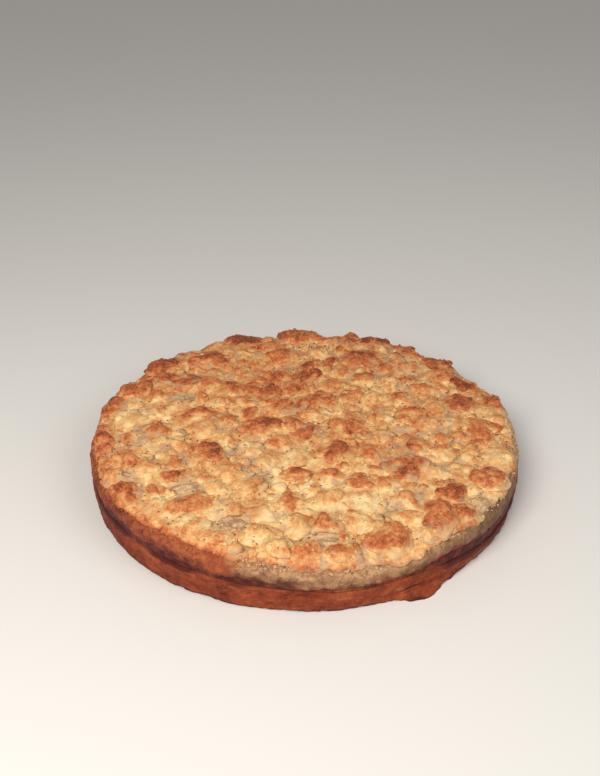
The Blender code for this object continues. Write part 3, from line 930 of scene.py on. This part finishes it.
def buildCrust(material):
    # the wall leans in to the foot, rolls in at both edges, is cut by grooves of a bell's
    # section, is craggy and broken at the foot, and has a flake; stain comes down from the
    # seam and a darker band up from the foot, both with ragged edges
    bearings = evenBearings(crust)
    top = crustTop(cake["shownRadius"], bearings) - cake["gap"]
    share = np.linspace(0.0, 1.0, crust["wallRings"])[:, None]
    height = top * (1.0 - share)
    places = onSide(bearings, height)
    juice = juiceAt(bearings)
    lean = (cake["wallRadius"] - cake["footRadius"]) * fade(share, 0.35, 1.0)
    roll = (0.3 + 0.5 * juice) * mm * fade(share, 0.09, 0.0) ** 1.5
    roll = roll + crust["footRoll"] * fade(share, 0.94, 1.0)
    wavy = layeredNoise(places, 14.0 * mm, 361, 3)
    offGroove = (height - crust["grooveHeight"] - 2.4 * mm * wavy) / crust["grooveHalf"]
    groove = swell(bearings, crust["groove"]) * np.exp(-offGroove ** 2) * fade(wavy, -0.5, 0.2)
    broken = fade(layeredNoise(places, 5.0 * mm, 333, 3), 0.0, 0.45) * fade(height, 1.6 * mm, 0.4 * mm)
    flake = swell(bearings, crust["flake"]) * np.clip(1.0 - height / crust["flakeHeight"], 0.0, 1.0)
    radius = cake["wallRadius"] - lean + swell(bearings, cake["wallRises"]) - roll - groove
    radius = radius + roughness(places, crust, 301) - crust["notch"] * broken + flake
    depth = (top - height) / mm
    ragged = layeredNoise(places, 7.0 * mm, 345, 3)
    deep = swell(bearings, crust["soaked"])
    stain = fade(depth + 2.8 * ragged, 1.8 + 1.2 * juice + 2.6 * deep, 0.2 + 0.6 * juice + deep)
    stain = stain * (0.15 + 0.85 * np.maximum(juice ** 2, deep))
    # the grooves take the stain colour: painted shade in them
    stain = np.maximum(stain, fade(groove, 0.2 * mm, 0.9 * mm))
    darkened = fade(height / mm + 2.4 * ragged, 2.8, 0.6)
    # darkWall: painted shade at the far left and right, a dark stain at 220
    darkened = np.maximum(darkened, swell(bearings, crust["darkWall"]) * fade(ragged, -0.7, 0.5))
    inner = [cake["hiddenRadius"], cake["shownRadius"]]
    above = [crustTop(reach, bearings) - cake["gap"] for reach in inner]
    radius = stacked(inner, radius, crust["footRings"])
    height = stacked(above, height, [0.0, 0.0])
    attributes = {"stain": stacked([1, 1], stain, [0, 0]), "darkened": stacked([0, 0], darkened, [0, 0])}
    obj = turnedObject("shortcrust_side", radius, height, bearings, material, attributes)
    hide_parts("shortcrust_base")
    print("crust made")


def crustMaterial():
    material, tree, shader, place = newMaterial("browned_shortcrust")
    along = squashed(tree, place, 1.6)
    broad, patch = noisesOf(tree, along, (24, 3.0, 0.6), (6, 5.0, 0.65))
    grain = noiseOf(tree, place, 1.1 * mm, 3.0, 0.6)
    tone = calculated(
        tree, "ADD", spread(tree, broad, 0.08, 0.45), spread(tree, patch, 0.05, 0.4),
        spread(tree, grain, -0.14, 0.14),
    )
    stain = attributeOf(tree, "stain")
    stained = rescaled(tree, stain, 0.1, 0.85, 0.0, 0.92)
    colour = mixed(tree, stained, rampOf(tree, tone, crust["colours"]), crust["stainAndGrooveShade"])
    # darker foot, and painted shade on the wall at the far left and right
    darkened = rescaled(tree, attributeOf(tree, "darkened"), 0.1, 1.0, 0.0, 0.75)
    colour = mixed(tree, darkened, colour, crust["darkenedColour"])
    gloss = rescaled(tree, stain, 0.0, 1.0, 0.7, 0.5)
    painted(shader, colour, gloss, 0.12, [(grain, 0.6 * mm), (patch, 0.9 * mm)])
    return material


buildCrust(crustMaterial())


# fruit seam: dark juice and fruit standing back between crust and apple
seam = {
    "around": 800,
    "rings": 14,
    "inset": 0.6 * mm,
    "roll": 0.35 * mm,
    "crag": (0.7 * mm, 8 * mm),
    "grit": (0.3 * mm, 2.2 * mm),
    "fruit": [(0.3, 54, 21, 23), (0.5, 84, 34, 31), (0.66, 112, 48, 38), (0.75, 140, 62, 44)],
    "baked": [(0.38, 78, 34, 26), (0.54, 124, 58, 38), (0.72, 160, 88, 56)],
    "slot": "dark_fruit",
}


def buildSeam(material):
    # set in from the wall, most where there is juice, and bulging out between its edges
    bearings = evenBearings(seam)
    share, height = bandRings(seam["rings"], bearings, crustTop, seamTop)
    juice = juiceAt(bearings)
    inset = seam["inset"] * (0.15 + 0.85 * juice) + seam["roll"] * (1.0 - np.sin(share * math.pi) ** 0.5)
    radius = cake["wallRadius"] - inset + swell(bearings, cake["wallRises"])
    radius = radius + roughness(onSide(bearings, height), seam, 401)
    radius, height = closedBand(radius, height, bearings, crustTop, seamTop)
    obj = turnedObject("fruit_seam_side", radius, height, bearings, material, {"juice": juice})
    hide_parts("fruit_seam")
    print("seam made")


def seamMaterial():
    material, tree, shader, place = newMaterial("dark_fruit")
    patch, grain = noisesOf(tree, place, (6, 4.0, 0.6), (1.5, 2.0, 0.5))
    juice = rescaled(tree, attributeOf(tree, "juice"), 0.25, 0.6)
    colour = mixed(tree, juice, rampOf(tree, patch, seam["baked"]), rampOf(tree, patch, seam["fruit"]))
    painted(shader, colour, 0.5, 0.14, [(grain, 0.6 * mm)])
    return material


buildSeam(seamMaterial())


# apple layer: soft pale side, rounded in under the crumble
appleLayer = {
    "around": 900,
    "rings": 28,
    "blotched": [(266, 6, 1.0), (289, 5, 0.7), (304, 4, 0.6), (30, 20, 0.6), (95, 12, 0.8)],
    "soaked": [(219, 6, 1.0), (204, 6, 0.7)],
    "pale": [(0.1, 104, 67, 47), (0.4, 144, 102, 72), (0.65, 167, 125, 90), (0.95, 186, 146, 107)],
    "toasted": [(0.1, 92, 36, 22), (0.45, 140, 62, 34), (0.9, 178, 92, 52)],
    "crumbs": [(202, 160, 113), (176, 98, 60)],  # pale and toasted
    "shaded": (78, 59, 42),
    "stained": [(84, 34, 30), (146, 70, 46)],
    "slot": "cooked_apple",
}


def buildAppleLayer(material):
    # juice stains come up from the seam with a ragged edge, and higher in blotches; crumbs
    # hang over from the top
    bearings = evenBearings(appleLayer)
    share, height = bandRings(appleLayer["rings"], bearings, seamTop, appleTop)
    radius = appleOut(bearings, share, height)
    ragged = layeredNoise(onSide(bearings, height), 6.0 * mm, 545, 3)
    above = (height - height[-1]) / mm
    juice = juiceAt(bearings)
    stain = fade(above + 4.2 * ragged, 2.8 + 1.4 * juice, 0.4 + 0.8 * juice) * (0.75 + 0.25 * juice)
    blotched = swell(bearings, appleLayer["blotched"]) * fade(ragged, 0.05, -0.3)
    stain = np.maximum(stain, 0.8 * blotched * fade(above, 8.0, 4.0))
    soaked = swell(bearings, appleLayer["soaked"]) * fade(above + 4.0 * ragged, 9.0, 4.0)
    crumbly = fade(share + 0.5 * ragged, 0.7, 0.1)
    attributes = {
        "toast": toastAt(bearings), "shaded": swell(bearings, cake["shaded"]),
        "stain": stacked([0, 0], np.maximum(stain, soaked), [1, 1]),
        "crumbly": stacked([1, 1], crumbly, [0, 0]),
    }
    radius, height = closedBand(radius, height, bearings, seamTop, appleTop)
    obj = turnedObject("apple_layer_side", radius, height, bearings, material, attributes)
    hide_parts("apple_layer")
    print("apple layer made")


def appleMaterial():
    material, tree, shader, place = newMaterial("cooked_apple")
    streak = noiseOf(tree, squashed(tree, place, 0.3), 2.2 * mm, 3.0, 0.6)
    patch, grain, crumb = noisesOf(tree, place, (8, 5.0, 0.65), (1.2, 2.0, 0.6), (2.6, 4.0, 0.7))
    tone = rescaled(tree, patch, 0.32, 0.68, -0.05, 0.65)
    tone = calculated(tree, "ADD", tone, spread(tree, streak, 0.0, 0.4))
    pale, warm = rampOf(tree, tone, appleLayer["pale"]), rampOf(tree, tone, appleLayer["toasted"])
    toast = calculated(tree, "ADD", attributeOf(tree, "toast"), spread(tree, patch, -0.28, 0.28))
    colour = mixed(tree, rescaled(tree, toast, 0.35, 0.65), pale, warm)
    crumbly = calculated(tree, "MULTIPLY", attributeOf(tree, "crumbly"), rescaled(tree, crumb, 0.42, 0.56))
    crumbs = mixed(tree, rescaled(tree, toast, 0.2, 0.6), *appleLayer["crumbs"])
    colour = mixed(tree, rescaled(tree, crumbly, 0.0, 1.0, 0.0, 0.85), colour, crumbs)
    colour = mixed(tree, attributeOf(tree, "shaded"), colour, appleLayer["shaded"])
    reddish = mixed(tree, rescaled(tree, patch, 0.4, 0.6), *appleLayer["stained"])
    colour = mixed(tree, rescaled(tree, attributeOf(tree, "stain"), 0.1, 0.9, 0.0, 0.9), colour, reddish)
    painted(shader, colour, 0.6, 0.25, [(grain, 0.6 * mm), (crumb, 1.0 * mm)])
    return material


buildAppleLayer(appleMaterial())


# grains: the finest loose crumbs, a few dozen faces each, lying on bed, clumps and rim
grains = {
    "onBed": 2100, "onClumps": 1900, "onEdge": 1400, "rings": 2, "around": 6,
    "least": 0.4 * mm, "most": 1.5 * mm, "deep": (0.6, 1.0), "tall": (0.45, 0.8), "jagged": (0.75, 1.2),
    "toneShift": (-0.13, 0.11), "seed": 71,
    # on the shoulder: radius at the apple layer's top and how much further out a millimetre
    # higher and lower is; from how high, and over what height, in millimetres
    "edgeRadius": 126.2, "edgeLean": (1.2, 0.7), "edgeFrom": 1.5, "edgeRun": 3.7,
}


def looseBits(draw, centres, half, spec):
    # at each centre a lump of that half width, with its depth and height as shares of it,
    # each of its points moved out or in at random
    count = len(centres)
    ball, faces = lumpGrid(spec["rings"], spec["around"], 1)
    deep, tall = draw.uniform(*spec["deep"], count), draw.uniform(*spec["tall"], count)
    halves = half[:, None] * spaced(1.0, deep, tall)
    points = ball * draw.uniform(*spec["jagged"], (count, len(ball), 1)) * halves[:, None]
    return turnedAbout(points, draw.uniform(0.0, 2.0 * math.pi, count)) + centres[:, None], faces


def edgePlaces(draw):
    # on the shoulder where crumble and apple layer meet, more of them high up; further down
    # is further out
    bearing = draw.uniform(0.0, 360.0, grains["onEdge"])
    depth = grains["edgeRun"] * draw.uniform(0.0, 1.0, grains["onEdge"]) ** 1.3 - grains["edgeFrom"]
    above, below = grains["edgeLean"]
    radius = (grains["edgeRadius"] + np.where(depth > 0.0, below, above) * depth) * mm
    centres = atBearing(radius, bearing, appleTop(cake["shownRadius"], bearing) - depth * mm)
    toast, shaded = toastAt(bearing), swell(bearing, cake["shaded"])
    tone = 0.27 + 0.5 * toast + 0.1 * shaded + 0.04 * depth
    wet = fade(depth + 1.2 * shaded, -2.2, 0.2) * (1.0 - toast)
    return centres, tone, wet, 1.0 - 0.45 * toast - 0.4 * shaded


def buildGrains():
    # on the bed evenly over its area, a few of them down its rim; on the clumps at random
    draw = np.random.default_rng(grains["seed"])
    reach = np.sqrt(draw.uniform(0.0, 1.06, grains["onBed"]))
    bearing = draw.uniform(0.0, 360.0, grains["onBed"])
    top, down = np.minimum(reach, 1.0) * crumble["topRadius"], np.maximum(reach - 1.0, 0.0) / 0.03
    bed, bedTone = crumbleSurface(bearing, top, down)[:2]
    skin, skinTone = (np.concatenate(parts) for parts in zip(*lumpSkins))
    pick = draw.integers(0, len(skin), grains["onClumps"])
    edge, edgeTone, edgeWet, edgeSize = edgePlaces(draw)
    centres = np.concatenate([bed, skin[pick], edge])
    tone = np.concatenate([bedTone, skinTone[pick], edgeTone])
    inside, count = len(tone) - len(edge), len(tone)
    half = grains["least"] + (grains["most"] - grains["least"]) * draw.uniform(0.0, 1.0, count) ** 2.2
    half[inside:] *= edgeSize
    points, faces = looseBits(draw, centres, half, grains)
    tone = np.clip(tone + draw.uniform(*grains["toneShift"], count), 0.03, 0.95)
    values = {"tone": tone, "crack": np.zeros(count), "wet": np.append(np.zeros(inside), edgeWet)}
    attributes = {key: np.repeat(value, points.shape[1]) for key, value in values.items()}
    obj = lumpsObject("crumble_grains", points, faces, crumblePaint, attributes)
    print("grains made")


buildGrains()


# pieces of apple: flat-sided soft blocks with fibres along them, half sunk in the crumble
appleBit = {
    "rings": 14,
    "lowRings": 2,
    "around": 56,
    "thick": 5.0 * mm,
    "lift": -0.35,  # of the middle over the bed, as a share of half the thickness
    "fibre": 1.3 * mm,
    "ridge": 0.8 * mm,
    "uneven": 0.32,
    "colours": [(0.1, 140, 102, 74), (0.5, 186, 146, 110), (0.9, 224, 192, 150)],
    "speckle": (232, 196, 144),
    "slot": "cooked_apple",
}


def buildAppleBits(material):
    # each direction's parts raised to the power 0.62 make a rounded block; ridges of noise
    # drawn out along the fibres stand off it. Each piece takes its own place in the noise
    x, y, long, wide, turn = np.array(appleBits, dtype=float).T
    x, y = x * mm, y * mm
    ball, faces = lumpGrid(appleBit["rings"], appleBit["around"], appleBit["lowRings"])
    block = np.sign(ball) * np.abs(ball) ** 0.62
    block /= np.maximum(1.0, np.linalg.norm(block, axis=1, keepdims=True) / 1.12)
    local = block * spaced(long / 2 * mm, wide / 2 * mm, appleBit["thick"] / 2)[:, None]
    apart = np.arange(len(appleBits))[:, None, None] * 3.7
    ridges = layeredNoise(local * (0.12, 1.0, 0.3) + apart, appleBit["fibre"], 901, 2)
    uneven = layeredNoise(block * 1.6 + apart, 1.0, 905, 3)
    local = local * (1.0 + appleBit["uneven"] * uneven)[..., None]
    local[..., 2] += appleBit["ridge"] * ridges
    height = bedTop(np.hypot(x, y), bearingOf(x, y)) + appleBit["lift"] * appleBit["thick"] / 2
    points = turnedAbout(local, np.radians(turn)) + spaced(x, y, height)[:, None]
    attributes = {"ridge": ridges * 0.5 + 0.5}
    obj = lumpsObject("apple_bits", heldIn(points, 0.6 * mm), faces, material, attributes)
    print("apple bits made")


def appleBitMaterial():
    material, tree, shader, place = newMaterial("apple_bits")
    patch, grain, speckle = noisesOf(tree, place, (5, 3.0, 0.6), (0.9, 2.0, 0.6), (2, 3.0, 0.7))
    tone = rescaled(tree, attributeOf(tree, "ridge"), 0.2, 0.8, 0.0, 0.6)
    tone = calculated(tree, "ADD", tone, spread(tree, patch, 0.0, 0.4))
    speckled = rescaled(tree, speckle, 0.5, 0.62, 0.0, 0.8)
    colour = mixed(tree, speckled, rampOf(tree, tone, appleBit["colours"]), appleBit["speckle"])
    painted(shader, colour, 0.45, bumps=[(grain, 0.6 * mm)])
    return material


buildAppleBits(appleBitMaterial())


# dark specks, flat and under 2 mm: painted shade of small holes, on the bed in the deepest
# cracks and creases and on the clumps where the skin is pale
specks = {
    "onBed": 800, "tried": 2900, "onClumps": 240, "palest": 0.3, "rings": 1, "around": 5,
    "least": 0.3 * mm, "most": 0.95 * mm, "deep": (0.3, 0.6), "tall": (0.3, 0.5), "jagged": (0.7, 1.25),
    "reach": 122.0 * mm, "lift": 0.35 * mm, "seed": 97,
    "colours": [(0.3, 72, 44, 29), (0.7, 124, 80, 50)],
}


def buildSpecks(material):
    # of the places tried on the bed, those with the deepest cracks and creases are kept; on
    # the clumps they lie where the skin is pale
    draw = np.random.default_rng(specks["seed"])
    reach = specks["reach"] * np.sqrt(draw.uniform(0.0, 1.0, specks["tried"]))
    bearing = draw.uniform(0.0, 360.0, specks["tried"])
    centres, _, crack, _ = crumbleSurface(bearing, reach)
    stand = (centres[:, 2] - bedTop(reach, bearing)) / mm
    kept = np.argsort(stand - 2.0 * crack + draw.uniform(0.0, 3.0, len(stand)))[: specks["onBed"]]
    pale = np.concatenate([places[tones < specks["palest"]] for places, tones in lumpSkins])
    centres = np.concatenate([centres[kept], pale[draw.integers(0, len(pale), specks["onClumps"])]])
    half = draw.uniform(specks["least"], specks["most"], len(centres))
    points, faces = looseBits(draw, centres, half, specks)
    points[..., 2] += specks["lift"]
    obj = lumpsObject("hole_shade_specks", points, faces, material)
    print("specks made")


def speckMaterial():
    material, tree, shader, place = newMaterial("hole_shade_specks")
    painted(shader, rampOf(tree, noiseOf(tree, place, 1.5 * mm), specks["colours"]), 0.8)
    return material


buildSpecks(speckMaterial())


# floor, light and camera
stage = {
    "floorHalf": 12.0,
    "floorColour": (0.82, 0.81, 0.79, 1.0),
    "roomColour": (1.0, 0.97, 0.93, 1.0),
    "roomStrength": 0.325,
    # place, target, size, power and colour of each light
    "key": ((-0.29, -0.58, 0.62), (0.0, -0.02, 0.03), 0.46, 5.6, (1.0, 0.95, 0.87)),
    "fill": ((0.62, -0.55, 0.7), (0.0, 0.0, 0.03), 0.7, 3.0, (1.0, 0.97, 0.94)),
    "camera": (0.0, -0.4957, 0.3581),
    "down": 31.29,  # degrees below level
    "left": 0.29,
    "lens": 45.3,
}


def buildFloor():
    mesh = bpy.data.meshes.new("floor")
    half = stage["floorHalf"]
    corners = [(-half, -half, 0), (half, -half, 0), (half, half, 0), (-half, half, 0)]
    mesh.from_pydata(corners, [], [(0, 1, 2, 3)])
    material, _, shader, _ = newMaterial("floor_white")
    painted(shader, stage["floorColour"], 0.8)
    mesh.materials.append(material)
    floor = linked("floor", mesh)


def areaLight(name, place, target, size, power, colour):
    # a round light whose back, +Z, is turned away from its target
    light = bpy.data.lights.new(name, "AREA")
    light.shape = "DISK"
    light.size = size
    light.energy = power
    light.color = colour
    obj = linked(name, light)
    obj.location = place
    x, y, z = np.array(place) - np.array(target)
    obj.rotation_euler = (math.atan2(math.hypot(x, y), z), 0.0, math.atan2(y, x) + math.pi / 2)


def buildStage():
    buildFloor()
    scene = bpy.context.scene
    scene.world = bpy.data.worlds.new("soft_room")
    scene.world.use_nodes = True
    background = scene.world.node_tree.nodes["Background"]
    background.inputs["Color"].default_value = stage["roomColour"]
    background.inputs["Strength"].default_value = stage["roomStrength"]
    for name in ("key", "fill"):
        areaLight(name, *stage[name])
    camera = bpy.data.cameras.new("camera")
    camera.lens = stage["lens"]
    camera.sensor_width = 36.0
    camera.clip_start = 0.01
    obj = linked("camera", camera)
    obj.location = stage["camera"]
    obj.rotation_euler = (math.radians(90.0 - stage["down"]), 0.0, math.radians(stage["left"]))
    bpy.context.scene.camera = obj
    bpy.context.scene.view_settings.view_transform = "Standard"
    print("stage made")


buildStage()
